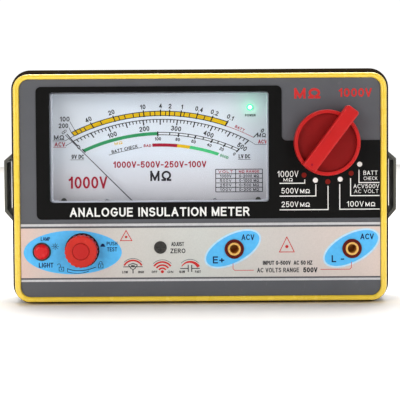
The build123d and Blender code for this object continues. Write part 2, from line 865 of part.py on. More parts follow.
def battery_cover():
    """Cover with a screw tab and grip grooves."""
    cover = prism(cover_outline(cover_gap), case_depth - case_wall, case_depth)
    cover -= rod(cover_screw_place, 1.6, case_depth - case_wall, case_depth)
    cover -= rod(cover_screw_place, 2.9, case_depth - 1.4, case_depth)
    for index in range(5):
        z = bay_centre[1] - 22 + index * 3
        groove_x = grown((bay_centre[0], bay_centre[0]), 16)
        cover -= slab(groove_x, grown((z, z), 0.6), case_depth - 0.7, case_depth, 0.5)
    return cover


def cover_screw():
    """Captive screw of the battery cover."""
    return screw(cover_screw_place, 2.7, 1.45, case_depth - 1.4, case_depth, 37.5)


parts = {
    "front_case": front_case(),
    "yellow_bumper": yellow_bumper(),
    "rear_case": rear_case(),
    "case_gasket": case_gasket(),
    "case_screws": case_screws(),
    "rubber_feet": rubber_feet(),
    "strap_loop_left": strap_loop(-1),
    "strap_loop_right": strap_loop(1),
    "panel_label": panel_label(),
    "control_strip": control_strip(),
    "window_lens": window_lens(),
    "meter_bezel": meter_bezel(),
    "dial_plate": dial_plate(),
    "dial_screws": dial_screws(),
    "dial_pins": dial_pins(),
    "meter_frame": meter_frame(),
    "pointer": pointer(),
    "moving_coil": moving_coil(),
    "coil_staffs": coil_staffs(),
    "hairspring": hairspring(),
    "movement_yoke": movement_yoke(),
    "movement_core": movement_core(),
    "movement_bridges": movement_bridges(),
    "jewel_screws": jewel_screws(),
    "zero_arm": zero_arm(),
    "zero_screw": zero_screw(),
    "power_led": power_led(),
    "dial_lamps": dial_lamps(),
    "range_knob": range_knob(),
    "knob_insert": knob_insert(),
    "switch_shaft": switch_shaft(),
    "switch_rotor": switch_rotor(),
    "switch_housing": switch_housing(),
    "switch_contacts": switch_contacts(),
    "detent_ball": detent_ball(),
    "test_knob": test_knob(),
    "test_knob_cap": test_knob_cap(),
    "test_plunger": test_plunger(),
    "test_guide": test_guide(),
    "test_spring": test_spring(),
    "light_ring": light_ring(),
    "light_button": light_button(),
    "light_spring": light_spring(),
    "push_switches": push_switches(),
    "control_board": control_board(),
    "jack_collars": jack_collars(),
    "jack_sockets": jack_sockets(),
    "panel_nuts": panel_nuts(),
    "main_board": main_board(),
    "inner_screws": inner_screws(),
    "transformer_core": transformer_core(),
    "transformer_winding": transformer_winding(),
    "capacitor": capacitor(),
    "fuse": fuse(),
    "fuse_clips": fuse_clips(),
    "battery_tray": battery_tray(),
    "aa_cells": aa_cells(),
    "battery_contacts": battery_contacts(),
    "battery_cover": battery_cover(),
    "cover_screw": cover_screw(),
}

os.makedirs("parts", exist_ok=True)
for name, shape in parts.items():
    raised = [Pos(0, 0, stand) * solid for solid in shape.solids()]
    export_step(raised[0] if len(raised) == 1 else group(raised), f"parts/{name}.step")
print(len(parts), "nodes")
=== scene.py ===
"""Looks of the analogue insulation resistance tester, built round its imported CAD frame.

Blender works in metres. Places of print and marks are written in millimetres, x to the right and z
up, seen from the front. They are scaled by MM where they are used, and z is counted from a grid line
STAND above what the tester stands on.
"""

import json
from math import acos, cos, pi, radians, sin, sqrt

import bpy
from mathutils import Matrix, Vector


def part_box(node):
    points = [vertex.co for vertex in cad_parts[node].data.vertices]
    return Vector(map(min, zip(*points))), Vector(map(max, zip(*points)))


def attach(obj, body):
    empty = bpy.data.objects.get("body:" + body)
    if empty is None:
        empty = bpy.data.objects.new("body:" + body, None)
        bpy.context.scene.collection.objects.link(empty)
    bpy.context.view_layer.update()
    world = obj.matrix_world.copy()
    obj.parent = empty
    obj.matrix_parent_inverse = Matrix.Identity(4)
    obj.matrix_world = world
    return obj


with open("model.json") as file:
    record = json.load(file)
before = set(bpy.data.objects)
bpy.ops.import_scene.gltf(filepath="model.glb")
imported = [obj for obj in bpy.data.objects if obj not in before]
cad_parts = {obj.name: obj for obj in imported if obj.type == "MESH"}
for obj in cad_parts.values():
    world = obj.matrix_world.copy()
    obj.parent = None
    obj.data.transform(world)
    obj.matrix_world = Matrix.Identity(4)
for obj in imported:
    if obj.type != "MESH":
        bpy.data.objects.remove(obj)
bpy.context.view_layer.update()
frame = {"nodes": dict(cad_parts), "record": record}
nodes = frame["nodes"]
MM = 0.001
STAND = 0.7


def box_mm(node):
    """Lowest and highest corner of a CAD node in millimetres, heights counted from the print's grid."""
    low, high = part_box(node)
    lift = Vector((0, 0, STAND))
    return Vector(low) / MM - lift, Vector(high) / MM - lift


def front_of(node):
    """Depth of a node's front face in millimetres."""
    return box_mm(node)[0][1]


def middle_of(node):
    """X and Z of the middle of a node in millimetres."""
    low, high = box_mm(node)
    return (low[0] + high[0]) / 2, (low[2] + high[2]) / 2


def add_object(name, data):
    """A new object in the scene."""
    item = bpy.data.objects.new(name, data)
    bpy.context.scene.collection.objects.link(item)
    return item


# ------------------------------------------------------------------ materials

# Most values of a noise lie between these two.
NOISE_LOW, NOISE_HIGH = 0.3, 0.7
SCUFF_STRENGTH = 0.35
# Strength of the dial's painted glow, which brightens it though it is no lamp.
DIAL_PAINTED_GLOW = 0.13
LAMP_GLOW = 1.3
LAMP_REACH = 1.5 * MM
INK_ROUGHNESS = 0.55
INK_SPECULAR = 0.12

materials = {}


def new_material(name):
    """The nodes and the Principled shader of a new material, which is kept under its name."""
    material = bpy.data.materials.new(name)
    material.use_nodes = True
    materials[name] = material
    return material.node_tree, material.node_tree.nodes["Principled BSDF"]


def noise(tree, scale, detail=4.0, roughness=0.55, stretch=None):
    """A noise over the part's own coordinates, scale in waves per metre, optionally stretched."""
    place = tree.nodes.new("ShaderNodeTexCoord")
    texture = tree.nodes.new("ShaderNodeTexNoise")
    texture.inputs["Scale"].default_value = scale
    texture.inputs["Detail"].default_value = detail
    texture.inputs["Roughness"].default_value = roughness
    source = place.outputs["Object"]
    if stretch:
        mapping = tree.nodes.new("ShaderNodeMapping")
        mapping.inputs["Scale"].default_value = stretch
        tree.links.new(source, mapping.inputs["Vector"])
        source = mapping.outputs["Vector"]
    tree.links.new(source, texture.inputs["Vector"])
    return texture.outputs["Fac"]


def ramp(tree, source, stops):
    """A colour ramp on a value."""
    node = tree.nodes.new("ShaderNodeValToRGB")
    elements = node.color_ramp.elements
    while len(elements) < len(stops):
        elements.new(0.5)
    for element, (position, colour) in zip(elements, stops):
        element.position = position
        element.color = (*colour, 1.0)
    tree.links.new(source, node.inputs["Fac"])
    return node.outputs["Color"]


def remap(tree, source, low, high, to_low=0.0, to_high=1.0):
    """A value mapped from one range to another."""
    node = tree.nodes.new("ShaderNodeMapRange")
    node.inputs["From Min"].default_value = low
    node.inputs["From Max"].default_value = high
    node.inputs["To Min"].default_value = to_low
    node.inputs["To Max"].default_value = to_high
    tree.links.new(source, node.inputs["Value"])
    return node.outputs["Result"]


def share_along(tree, axis, low, high, space="Object"):
    """Share of the way from one place to another along an axis."""
    place = tree.nodes.new("ShaderNodeTexCoord")
    split = tree.nodes.new("ShaderNodeSeparateXYZ")
    tree.links.new(place.outputs[space], split.inputs["Vector"])
    return remap(tree, split.outputs[axis], low, high)


def colour_mixer(tree, first, second):
    """A mix node with its two colours linked."""
    node = tree.nodes.new("ShaderNodeMix")
    node.data_type = "RGBA"
    tree.links.new(first, node.inputs[6])
    tree.links.new(second, node.inputs[7])
    return node


def mix_colours(tree, factor, first, second):
    """Two colour sockets mixed by a value socket."""
    node = colour_mixer(tree, first, second)
    tree.links.new(factor, node.inputs[0])
    return node.outputs[2]


def multiply_colours(tree, first, second):
    """Two colour sockets multiplied."""
    node = colour_mixer(tree, first, second)
    node.blend_type = "MULTIPLY"
    node.inputs[0].default_value = 1.0
    return node.outputs[2]


def plain_colour(tree, colour):
    """A socket of one colour."""
    node = tree.nodes.new("ShaderNodeRGB")
    node.outputs[0].default_value = (*colour, 1.0)
    return node.outputs[0]


def uneven_gloss(tree, shader, source, low, high):
    """Roughness that follows a noise from a low to a high value."""
    gloss = remap(tree, source, NOISE_LOW, NOISE_HIGH, low, high)
    tree.links.new(gloss, shader.inputs["Roughness"])


def bump(tree, shader, source, depth_mm):
    """Surface relief from a value, its depth in millimetres."""
    node = tree.nodes.new("ShaderNodeBump")
    node.inputs["Distance"].default_value = depth_mm * MM
    tree.links.new(source, node.inputs["Height"])
    tree.links.new(node.outputs["Normal"], shader.inputs["Normal"])


def shade(colour, factor):
    """A colour made lighter or darker."""
    return tuple(min(1.0, channel * factor) for channel in colour)


def mottled(tree, source, colour, low, high):
    """A colour that a noise makes darker and lighter, between two factors."""
    return ramp(tree, source, ((NOISE_LOW, shade(colour, low)), (NOISE_HIGH, shade(colour, high))))


def scuffed(tree, tint, worn):
    """A colour socket mixed towards a worn colour in a few small rubbed patches."""
    rubs = noise(tree, 260.0, 6.0, 0.7)
    patches = ramp(tree, rubs, ((0.62, (0, 0, 0)), (0.78, (SCUFF_STRENGTH,) * 3)))
    return mix_colours(tree, patches, tint, plain_colour(tree, worn))


def moulded(
    name, colour, roughness, grain=900.0, grain_mm=0.03, mottle=0.06, coat=0.0, worn=None, specular=0.5
):
    """Moulded or coated surface: mottled colour, uneven gloss and a fine grain, in waves per metre."""
    tree, shader = new_material(name)
    tint = mottled(tree, noise(tree, 60.0), colour, 1 - mottle, 1 + mottle)
    if worn:
        tint = scuffed(tree, tint, worn)
    tree.links.new(tint, shader.inputs["Base Color"])
    uneven_gloss(tree, shader, noise(tree, 180.0), roughness * 0.85, roughness * 1.15)
    bump(tree, shader, noise(tree, grain, 3.0), grain_mm)
    shader.inputs["Coat Weight"].default_value = coat
    shader.inputs["Specular IOR Level"].default_value = specular


def brushed(name, colour, roughness, stretch, metallic=1.0):
    """Metal with fine marks drawn out along one axis."""
    tree, shader = new_material(name)
    marks = noise(tree, 1200.0, 3.0, 0.6, stretch)
    tree.links.new(mottled(tree, marks, colour, 0.86, 1.08), shader.inputs["Base Color"])
    uneven_gloss(tree, shader, marks, roughness * 0.8, roughness * 1.3)
    bump(tree, shader, marks, 0.01)
    shader.inputs["Metallic"].default_value = metallic


def ink(name, colour):
    """Printing ink: nearly even, with a slight screen-print mottle."""
    tree, shader = new_material(name)
    cloud = noise(tree, 700.0, 2.0)
    tree.links.new(mottled(tree, cloud, colour, 0.94, 1.05), shader.inputs["Base Color"])
    uneven_gloss(tree, shader, cloud, INK_ROUGHNESS * 0.9, INK_ROUGHNESS * 1.1)
    shader.inputs["Specular IOR Level"].default_value = INK_SPECULAR


def clear(name, colour, roughness, ior):
    """Clear plastic or glass that lets the lamps' light through."""
    tree, shader = new_material(name)
    shader.inputs["Base Color"].default_value = (*colour, 1.0)
    shader.inputs["Transmission Weight"].default_value = 1.0
    shader.inputs["IOR"].default_value = ior
    uneven_gloss(tree, shader, noise(tree, 90.0), roughness * 0.6, roughness * 1.6)
    path = tree.nodes.new("ShaderNodeLightPath")
    through = tree.nodes.new("ShaderNodeBsdfTransparent")
    through.inputs["Color"].default_value = (*colour, 1.0)
    mix = tree.nodes.new("ShaderNodeMixShader")
    tree.links.new(path.outputs["Is Shadow Ray"], mix.inputs["Fac"])
    tree.links.new(shader.outputs["BSDF"], mix.inputs[1])
    tree.links.new(through.outputs["BSDF"], mix.inputs[2])
    output = tree.nodes["Material Output"]
    tree.links.new(mix.outputs["Shader"], output.inputs["Surface"])


def dial_sheet_with_painted_light(name):
    """Dial print base: pale blue-grey, with painted shade at its foot, a little at its top and towards both
    sides, and a faint painted glow.
    """
    tree, shader = new_material(name)
    low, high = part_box("dial_plate")
    window_low, window_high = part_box("window_lens")
    # Painted shade: the dial grows darker towards the foot of the window and a little towards its top, so its
    # middle looks lit.
    upright = ramp(
        tree,
        share_along(tree, "Z", window_low[2], window_high[2]),
        (
            (0.0, (0.40, 0.40, 0.43)),
            (0.18, (0.54, 0.55, 0.59)),
            (0.45, (0.62, 0.68, 0.75)),
            (0.75, (0.62, 0.67, 0.73)),
            (1.0, (0.56, 0.62, 0.68)),
        ),
    )
    # Painted shade: darker towards both sides, most on the right.
    sides = ramp(
        tree,
        share_along(tree, "X", low[0], high[0]),
        ((0.0, (0.88, 0.85, 0.82)), (0.3, (1, 1, 1)), (0.78, (1.03, 1.01, 1.0)), (1.0, (0.72, 0.7, 0.7))),
    )
    tint = multiply_colours(tree, upright, sides)
    tree.links.new(tint, shader.inputs["Base Color"])
    # Painted glow: the dial glows faintly in its own colour to look brighter.
    tree.links.new(tint, shader.inputs["Emission Color"])
    shader.inputs["Emission Strength"].default_value = DIAL_PAINTED_GLOW
    uneven_gloss(tree, shader, noise(tree, 300.0), 0.4, 0.5)
    bump(tree, shader, noise(tree, 2500.0, 2.0), 0.004)


def speckled_strip(name):
    """Light film of the control strip: warm grey, pinker towards both ends, with a paper-fine grain."""
    tree, shader = new_material(name)
    low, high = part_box("control_strip")
    base = ramp(
        tree,
        share_along(tree, "X", low[0], high[0]),
        (
            (0.0, (0.76, 0.56, 0.50)),
            (0.1, (0.66, 0.60, 0.56)),
            (0.5, (0.63, 0.645, 0.615)),
            (0.75, (0.65, 0.60, 0.57)),
            (1.0, (0.72, 0.60, 0.55)),
        ),
    )
    grain = ramp(tree, noise(tree, 1500.0, 2.0), ((NOISE_LOW, (0.96,) * 3), (NOISE_HIGH, (1.03,) * 3)))
    tree.links.new(multiply_colours(tree, base, grain), shader.inputs["Base Color"])
    uneven_gloss(tree, shader, noise(tree, 500.0), 0.38, 0.5)
    bump(tree, shader, noise(tree, 3000.0, 2.0), 0.005)


def lit_dome(name, node):
    """Glowing lamp: white hot in the middle and green towards its edge."""
    tree, shader = new_material(name)
    low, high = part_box(node)
    place = tree.nodes.new("ShaderNodeTexCoord")
    flat = tree.nodes.new("ShaderNodeMapping")
    flat.inputs["Scale"].default_value = (1, 0, 1)
    tree.links.new(place.outputs["Object"], flat.inputs["Vector"])
    reach = tree.nodes.new("ShaderNodeVectorMath")
    reach.operation = "DISTANCE"
    reach.inputs[1].default_value = ((low[0] + high[0]) / 2, 0, (low[2] + high[2]) / 2)
    tree.links.new(flat.outputs["Vector"], reach.inputs[0])
    share = remap(tree, reach.outputs["Value"], 0.0, LAMP_REACH)
    tint = ramp(tree, share, ((0.3, (0.7, 1.0, 0.85)), (0.75, (0.06, 0.85, 0.30))))
    tree.links.new(tint, shader.inputs["Base Color"])
    tree.links.new(tint, shader.inputs["Emission Color"])
    shader.inputs["Emission Strength"].default_value = LAMP_GLOW
    uneven_gloss(tree, shader, noise(tree, 400.0), 0.15, 0.25)


# Case and panel. The numbers after each colour are its roughness, grain, grain depth and mottle.
moulded(
    "front_plastic", (0.098, 0.102, 0.116), 0.45, 1500.0, 0.012, 0.05, worn=(0.2, 0.2, 0.22), specular=0.4
)
moulded("shell_plastic", (0.023, 0.0165, 0.0135), 0.7, 1300.0, 0.035, worn=(0.045,) * 3, specular=0.08)
moulded("strap_plastic", (0.12, 0.125, 0.117), 0.6, 1300.0, 0.02, worn=(0.15,) * 3, specular=0.25)
moulded("bumper_yellow", (0.96, 0.68, 0.06), 0.26, 700.0, 0.006, 0.03, coat=0.6, specular=0.5)
moulded("seal_rubber", (0.02, 0.02, 0.02), 0.8, 1600.0, 0.05)
moulded("label_black", (0.0045, 0.0045, 0.0045), 0.42, 2200.0, 0.004, 0.1, specular=0.1)
speckled_strip("strip_beige")

# Meter.
clear("lens_clear", (0.985, 0.99, 1.0), 0.012, 1.49)
moulded("bezel_grey", (0.82, 0.84, 0.9), 0.45, 1500.0, 0.01)
# The dial's material holds painted shade and a painted glow.
dial_sheet_with_painted_light("dial_print")
moulded("carrier_plastic", (0.03, 0.03, 0.032), 0.5)
moulded("needle_black", (0.05, 0.05, 0.06), 0.4)
lit_dome("led_green", "power_led")
moulded("lamp_white", (0.82, 0.85, 0.9), 0.15, coat=0.5)

# Controls.
red_finish = {"coat": 0.05, "specular": 0.25}
moulded("knob_red", (0.54, 0.010, 0.010), 0.4, 900.0, 0.008, 0.05, worn=(0.8, 0.08, 0.05), **red_finish)
# The plate's red is the knob's red at half strength: painted shade for the knob's deep recess.
moulded("plate_red", (0.27, 0.006, 0.006), 0.5, 1500.0, 0.01, 0.12, specular=0.15)
moulded("test_red", (0.62, 0.022, 0.012), 0.4, 1000.0, 0.01, 0.06, worn=(0.85, 0.15, 0.1), **red_finish)
moulded("cap_red", (0.54, 0.014, 0.012), 0.36, 900.0, 0.006, 0.06, specular=0.25)
moulded("guide_plastic", (0.02, 0.018, 0.02), 0.5)
moulded("button_red", (0.68, 0.006, 0.01), 0.26, 500.0, 0.004, 0.05, coat=0.2, specular=0.25)
moulded("collar_red", (0.11, 0.006, 0.003), 0.35, 700.0, 0.006, 0.15, specular=0.15)

# Metals, with the stretch of their marks, and blackened screws.
brushed("zinc_steel", (0.36, 0.35, 0.34), 0.42, (1, 1, 8))
brushed("bright_pin", (0.78, 0.78, 0.8), 0.18, (1, 8, 1))
brushed("copper_wire", (0.72, 0.32, 0.16), 0.3, (1, 14, 1))
brushed("spring_steel", (0.66, 0.64, 0.6), 0.25, (1, 1, 8))
brushed("soft_iron", (0.42, 0.42, 0.43), 0.4, (8, 1, 1))
brushed("brass", (1.0, 0.58, 0.15), 0.4, (6, 6, 1), metallic=0.3)
moulded("dark_screw", (0.035, 0.033, 0.03), 0.42, 1800.0, 0.02, 0.2, worn=(0.2, 0.19, 0.18))

# Circuit and battery.
moulded("board_green", (0.02, 0.16, 0.06), 0.3, coat=0.4)
moulded("ferrite", (0.05, 0.05, 0.05), 0.7)
moulded("winding_tape", (0.75, 0.56, 0.08), 0.35)
moulded("capacitor_sleeve", (0.02, 0.05, 0.22), 0.25, coat=0.4)
clear("fuse_glass", (0.93, 0.97, 0.96), 0.02, 1.5)
moulded("cell_jacket", (0.05, 0.06, 0.09), 0.25, coat=0.3)

for entry in frame["record"]["subparts"]:
    node = nodes[entry["node"]]
    node.data.materials.clear()
    node.data.materials.append(materials[entry["material_slot"]])

INK_COLOURS = {
    "white": (0.9, 0.9, 0.88),
    "black": (0.012, 0.012, 0.016),
    "dark": (0.018, 0.018, 0.024),
    "red": (0.62, 0.035, 0.035),
    "dark_red": (0.36, 0.006, 0.028),
    "amber": (0.72, 0.46, 0.002),
    "green": (0.03, 0.30, 0.11),
    "bright_green": (0.06, 0.55, 0.20),
    "blue": (0.11, 0.53, 1.0),
    "pale_blue": (0.52, 0.77, 0.95),
    "navy": (0.008, 0.02, 0.09),
    "silver": (0.62, 0.62, 0.64),
    "shadow_grey": (0.11, 0.11, 0.12),
    "pale": (0.74, 0.78, 0.82),
    "dot_red": (0.2, 0.010, 0.006),
}
for ink_name, ink_colour in INK_COLOURS.items():
    ink(f"ink_{ink_name}", ink_colour)


# ------------------------------------------------------------------ letters

# Each letter is its width and its strokes, for a height of 1. A stroke is drawn through points
# (x, y) and arcs (centre x, centre y, radius x, radius y, first angle, last angle).
LETTERS = {
    " ": (0.12, []),
    "0": (0.54, [[(0.27, 0.5, 0.27, 0.5, 90, 450)]]),
    "1": (0.3, [[(0.02, 0.77), (0.16, 0.85), (0.26, 1.0), (0.26, 0)]]),
    "2": (0.54, [[(0.27, 0.72, 0.25, 0.28, 165, -35), (0.02, 0), (0.54, 0)]]),
    "3": (0.54, [[(0.26, 0.76, 0.23, 0.24, 155, -80)], [(0.26, 0.27, 0.27, 0.27, 80, -155)]]),
    "4": (0.58, [[(0.42, 0), (0.42, 1), (0, 0.3), (0.58, 0.3)]]),
    "5": (0.54, [[(0.5, 1), (0.1, 1), (0.04, 0.5), (0.27, 0.32, 0.27, 0.32, 125, -150)]]),
    "6": (0.54, [[(0.27, 0.31, 0.26, 0.31, 0, 360)], [(0.3, 0.5, 0.29, 0.5, 190, 50)]]),
    "7": (0.52, [[(0, 1), (0.52, 1), (0.18, 0)]]),
    "8": (0.54, [[(0.27, 0.76, 0.22, 0.24, 270, -90)], [(0.27, 0.27, 0.27, 0.27, 90, 450)]]),
    "9": (0.54, [[(0.27, 0.69, 0.26, 0.31, 0, 360)], [(0.24, 0.5, 0.29, 0.5, 10, -130)]]),
    "A": (0.64, [[(0, 0), (0.32, 1), (0.64, 0)], [(0.12, 0.33), (0.52, 0.33)]]),
    "B": (
        0.54,
        [
            [(0, 0), (0, 1), (0.3, 0.765, 0.2, 0.235, 90, -90), (0, 0.53)],
            [(0, 0.53), (0.32, 0.265, 0.22, 0.265, 90, -90), (0, 0)],
        ],
    ),
    "C": (0.6, [[(0.34, 0.5, 0.34, 0.5, 48, 312)]]),
    "D": (0.58, [[(0, 0), (0, 1), (0.22, 1), (0.22, 0.5, 0.36, 0.5, 90, -90), (0, 0)]]),
    "E": (0.5, [[(0.5, 1), (0, 1), (0, 0), (0.5, 0)], [(0, 0.52), (0.45, 0.52)]]),
    "F": (0.48, [[(0.48, 1), (0, 1), (0, 0)], [(0, 0.52), (0.42, 0.52)]]),
    "G": (0.66, [[(0.34, 0.5, 0.34, 0.5, 48, 340), (0.66, 0.46), (0.38, 0.46)]]),
    "H": (0.56, [[(0, 0), (0, 1)], [(0.56, 0), (0.56, 1)], [(0, 0.52), (0.56, 0.52)]]),
    "I": (0.02, [[(0.01, 0), (0.01, 1)]]),
    "J": (0.44, [[(0.44, 1), (0.22, 0.24, 0.22, 0.24, 360, 185)]]),
    "K": (0.56, [[(0, 0), (0, 1)], [(0.53, 1), (0, 0.36)], [(0.2, 0.6), (0.56, 0)]]),
    "L": (0.46, [[(0, 1), (0, 0), (0.46, 0)]]),
    "M": (0.7, [[(0, 0), (0, 1), (0.35, 0.06), (0.7, 1), (0.7, 0)]]),
    "N": (0.56, [[(0, 0), (0, 1), (0.56, 0), (0.56, 1)]]),
    "O": (0.72, [[(0.36, 0.5, 0.36, 0.5, 90, 450)]]),
    "P": (0.52, [[(0, 0), (0, 1), (0.28, 0.74, 0.24, 0.26, 90, -90), (0, 0.48)]]),
    "R": (0.56, [[(0, 0), (0, 1), (0.3, 0.75, 0.23, 0.25, 90, -90), (0, 0.5)], [(0.28, 0.5), (0.56, 0)]]),
    "S": (0.54, [[(0.27, 0.755, 0.25, 0.245, 30, 250), (0.27, 0.265, 0.27, 0.265, 72, -150)]]),
    "T": (0.58, [[(0, 1), (0.58, 1)], [(0.29, 1), (0.29, 0)]]),
    "U": (0.56, [[(0, 1), (0.28, 0.3, 0.28, 0.3, 180, 360), (0.56, 1)]]),
    "V": (0.6, [[(0, 1), (0.3, 0), (0.6, 1)]]),
    "W": (0.86, [[(0, 1), (0.21, 0), (0.43, 1), (0.65, 0), (0.86, 1)]]),
    "X": (0.58, [[(0, 0), (0.58, 1)], [(0, 1), (0.58, 0)]]),
    "Z": (0.54, [[(0, 1), (0.54, 1), (0, 0), (0.54, 0)]]),
    "k": (0.42, [[(0, 0), (0, 1)], [(0.4, 0.66), (0, 0.26)], [(0.14, 0.4), (0.42, 0)]]),
    "Ω": (
        0.76,
        [
            [
                (0, 0),
                (0.26, 0),
                (0.26, 0.12),
                (0.38, 0.57, 0.36, 0.43, 235, -55),
                (0.5, 0.12),
                (0.5, 0),
                (0.76, 0),
            ]
        ],
    ),
    "∞": (2.2, [[(0.55, 0.5, 0.55, 0.5, 45, 315), (1.65, 0.5, 0.55, 0.5, 225, 495), (0.94, 0.15)]]),
    "+": (0.5, [[(0, 0.42), (0.5, 0.42)], [(0.25, 0.17), (0.25, 0.67)]]),
    "-": (0.3, [[(0, 0.42), (0.3, 0.42)]]),
    ".": (0.04, [[(0, 0), (0.04, 0)]]),
}


# Degrees between the points of an arc, and the gap between two letters as a share of their height.
ARC_STEP = 18
LETTER_GAP = 0.17


def drawn(shape):
    """Points of one stroke of a letter."""
    points = []
    for item in shape:
        if len(item) == 2:
            points.append(item)
            continue
        x, y, wide, tall, first, last = item
        steps = max(3, round(abs(last - first) / ARC_STEP))
        for step in range(steps + 1):
            angle = radians(first + (last - first) * step / steps)
            points.append((x + wide * cos(angle), y + tall * sin(angle)))
    return points


# ------------------------------------------------------------------ printing


# Thickness of a layer of ink and how far its back lies inside the surface, in millimetres.
INK_LAYER = 0.025
INK_ROOT = 0.01
# Shapes of one print take turns at this many depths, this far apart.
DEPTHS = 5
DEPTH_STEP = 0.002
# A line is cut at a corner sharper than this, and its corners run out no further than this allows.
SHARP = radians(40)
MITRE_LIMIT = 0.62
TINY = 1e-5


def ellipse_outline(centre, half_x, half_z, tilt=0.0, sides=72):
    """Points of an ellipse, tilted anticlockwise."""
    side, rise = cos(radians(tilt)), sin(radians(tilt))
    points = []
    for step in range(sides):
        angle = 2 * pi * step / sides
        along, across = half_x * cos(angle), half_z * sin(angle)
        points.append((centre[0] + along * side - across * rise, centre[1] + along * rise + across * side))
    return points


class Print:
    """Ink of one colour on one flat face: thin closed shapes joined in one mesh, seen from the front."""

    def __init__(self, name, surface, colour, layer=1, body="case", grid=(0.0, 0.0, 1.0)):
        self.name = name
        self.grid = grid
        self.front = surface - INK_LAYER * layer
        self.back = surface + INK_ROOT
        self.colour = colour
        self.body = body
        self.vertices = []
        self.faces = []
        self.shapes = 0

    def top(self):
        """Depth of the next shape's face: neighbours that cross each other never lie in one plane."""
        self.shapes += 1
        return self.front - DEPTH_STEP * (self.shapes % DEPTHS)

    def polygon(self, points):
        """A filled outline, its points given anticlockwise."""
        start = len(self.vertices)
        count = len(points)
        front = self.top()
        self.vertices += [(x, front, z) for x, z in points]
        self.vertices += [(x, self.back, z) for x, z in points]
        self.faces.append([start + index for index in range(count)])
        self.faces.append([start + count + index for index in reversed(range(count))])
        for index in range(count):
            after = (index + 1) % count
            self.faces.append([start + after, start + index, start + count + index, start + count + after])

    def band(self, left, right):
        """A filled band between two lines of as many points, closed into one solid strip."""
        start = len(self.vertices)
        count = len(left)
        front = self.top()
        for line in (left, right):
            for depth in (front, self.back):
                self.vertices += [(x, depth, z) for x, z in line]
        near_l, far_l, near_r, far_r = (start + count * row for row in range(4))
        for index in range(count - 1):
            self.faces.append([near_l + index, near_l + index + 1, near_r + index + 1, near_r + index])
            self.faces.append([far_r + index, far_r + index + 1, far_l + index + 1, far_l + index])
            self.faces.append([far_l + index, far_l + index + 1, near_l + index + 1, near_l + index])
            self.faces.append([near_r + index, near_r + index + 1, far_r + index + 1, far_r + index])
        last = count - 1
        self.faces.append([far_l, near_l, near_r, far_r])
        self.faces.append([near_l + last, far_l + last, far_r + last, near_r + last])

    def line(self, points, width, cap=0.0):
        """A line of one width through some points, longer by a cap at both ends unless it is closed.

        It is cut at sharp corners, where both pieces run on by half the width.
        """
        spots = [Vector(points[0])]
        for point in points[1:]:
            if (Vector(point) - spots[-1]).length > TINY:
                spots.append(Vector(point))
        closed = (spots[0] - spots[-1]).length < TINY
        pieces = [[spots[0]]]
        for index in range(1, len(spots)):
            here = spots[index]
            pieces[-1].append(here)
            if index < len(spots) - 1:
                bend = (here - spots[index - 1]).angle(spots[index + 1] - here)
                if bend > SHARP:
                    pieces.append([here])
        if closed and len(pieces) == 1:
            self.stroke(spots, width, True)
            return
        end_cap = width / 2 if closed else cap
        for number, piece in enumerate(pieces):
            first = end_cap if number == 0 else width / 2
            last = end_cap if number == len(pieces) - 1 else width / 2
            piece[0] = piece[0] + (piece[0] - piece[1]).normalized() * first
            piece[-1] = piece[-1] + (piece[-1] - piece[-2]).normalized() * last
            self.stroke(piece, width, False)

    def stroke(self, spots, width, closed):
        """A band of one width along a smooth line of points."""
        last = len(spots) - 1
        left, right = [], []
        for index, here in enumerate(spots):
            before = spots[index - 1] if index else spots[-2]
            after = spots[index + 1] if index < last else spots[1]
            into = (here - before).normalized()
            out = (after - here).normalized()
            if not closed and index == 0:
                into = out
            if not closed and index == last:
                out = into
            across = Vector((-into.y - out.y, into.x + out.x)).normalized()
            reach = across * (width / 2 / max(MITRE_LIMIT, across.dot(Vector((-into.y, into.x)))))
            left.append(tuple(here + reach))
            right.append(tuple(here - reach))
        self.band(right, left)

    def rectangle(self, low_x, high_x, low_z, high_z):
        """A filled upright rectangle."""
        self.polygon([(low_x, low_z), (high_x, low_z), (high_x, high_z), (low_x, high_z)])

    def disc(self, centre, radius, sides=28):
        """A filled circle."""
        self.polygon(ellipse_outline(centre, radius, radius, sides=sides))

    def loop(self, points, width):
        """A closed line of one width."""
        self.line([*points, points[0]], width)

    def arc(self, centre, radius, start, end, width, steps=24, end_width=None):
        """Part of a ring, its angles in degrees clockwise from straight up, its width growing evenly."""
        end_width = width if end_width is None else end_width
        outer, inner = [], []
        for step in range(steps + 1):
            share = step / steps
            angle = radians(start + (end - start) * share)
            half = (width + (end_width - width) * share) / 2
            for line, reach in ((outer, radius + half), (inner, radius - half)):
                line.append((centre[0] + reach * sin(angle), centre[1] + reach * cos(angle)))
        if end < start:
            outer, inner = inner, outer
        self.band(inner, outer)

    def text(self, words, centre, height, width=None, weight=0.12, turn=0.0):
        """Words in strokes, their outline box as high and wide as asked, turned clockwise.

        The weight is the stroke's width as a share of the height.
        """
        pen = weight * height
        strokes = []
        across = 0.0
        for letter in words:
            advance, shapes = LETTERS[letter]
            for shape in shapes:
                strokes.append([(across + x, y) for x, y in drawn(shape)])
            across += advance + LETTER_GAP + weight
        spots = [spot for stroke in strokes for spot in stroke]
        low_x, high_x = min(x for x, y in spots), max(x for x, y in spots)
        low_y, high_y = min(y for x, y in spots), max(y for x, y in spots)
        tall = (height - pen) / (high_y - low_y)
        wide = (width - pen) / (high_x - low_x) if width else tall
        side, rise = cos(radians(turn)), sin(radians(turn))
        for stroke in strokes:
            placed = []
            for x, y in stroke:
                right = (x - (low_x + high_x) / 2) * wide
                up = (y - (low_y + high_y) / 2) * tall
                placed.append((centre[0] + right * side + up * rise, centre[1] - right * rise + up * side))
            self.line(placed, pen, cap=pen / 2)

